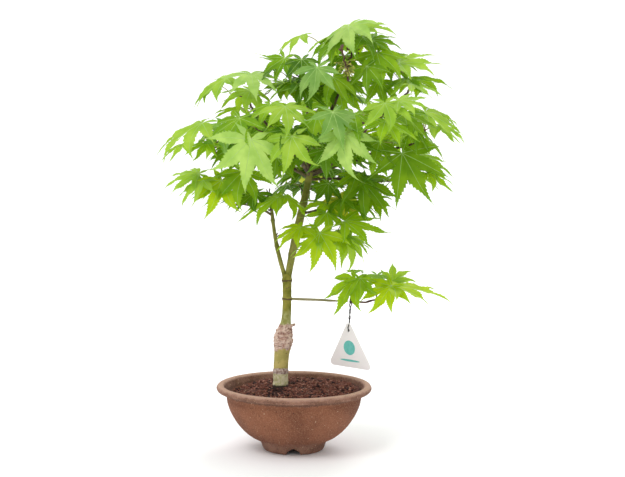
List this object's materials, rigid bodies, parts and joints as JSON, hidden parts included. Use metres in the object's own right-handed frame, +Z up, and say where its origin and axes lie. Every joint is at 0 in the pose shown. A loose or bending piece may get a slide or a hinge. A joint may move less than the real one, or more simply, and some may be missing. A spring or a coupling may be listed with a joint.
{
  "type": "bonsai maple in a bowl",
  "caption": "Young upright palmate-leaved maple grown as a bonsai in a round unglazed clay bowl, with layered pads of leaves and a blank hanging tag.",
  "frame": {"origin": "under the middle of the whole outline, at the level the bowl's feet stand on", "axes": "+Z up along the tree, +X towards the side of the lowest bough, -Y the side that the tree is seen from"},
  "size_m": [0.3602, 0.274, 0.5002],
  "materials": {
    "clay": "unglazed terracotta brown with dark specks, matte",
    "soil": "damp granular bonsai soil, matte",
    "bark": "smooth olive green young bark, rough and brown at the graft",
    "leaf": "fresh light green leaves, satin, letting light through",
    "twig": "thin dark purplish brown twigs",
    "tag": "plain pale card-like plastic",
    "wire": "dark coated wire"
  },
  "bodies": {
    "root": {"bough_back": "bark", "bough_back_left": "bark", "bough_back_right": "bark", "bough_front": "bark", "bough_front_right": "bark", "bough_heart": "bark", "bough_inner_right": "bark", "bough_leader_pad": "bark", "bough_left": "bark", "bough_low": "bark", "bough_low_back": "bark", "bough_low_left": "bark", "bough_low_right": "bark", "bough_right": "bark", "bough_side_stem": "bark", "bough_top": "bark", "bough_upper_left": "bark", "bough_upper_right": "bark", "bowl": "clay", "crown_back": "leaf", "crown_back_left": "leaf", "crown_back_right": "leaf", "crown_front": "leaf", "crown_front_right": "leaf", "crown_heart": "leaf", "crown_inner_right": "leaf", "crown_left": "leaf", "crown_low_back": "leaf", "crown_low_left": "leaf", "crown_low_right": "leaf", "crown_right": "leaf", "crown_top": "leaf", "crown_upper_left": "leaf", "crown_upper_right": "leaf", "leader": "bark", "leader_pad": "leaf", "low_bough_pad": "leaf", "side_stem": "bark", "side_stem_pad": "leaf", "soil": "soil", "tag": "tag", "tag_wire": "wire", "trunk": "bark"}
  },
  "joints": []
}
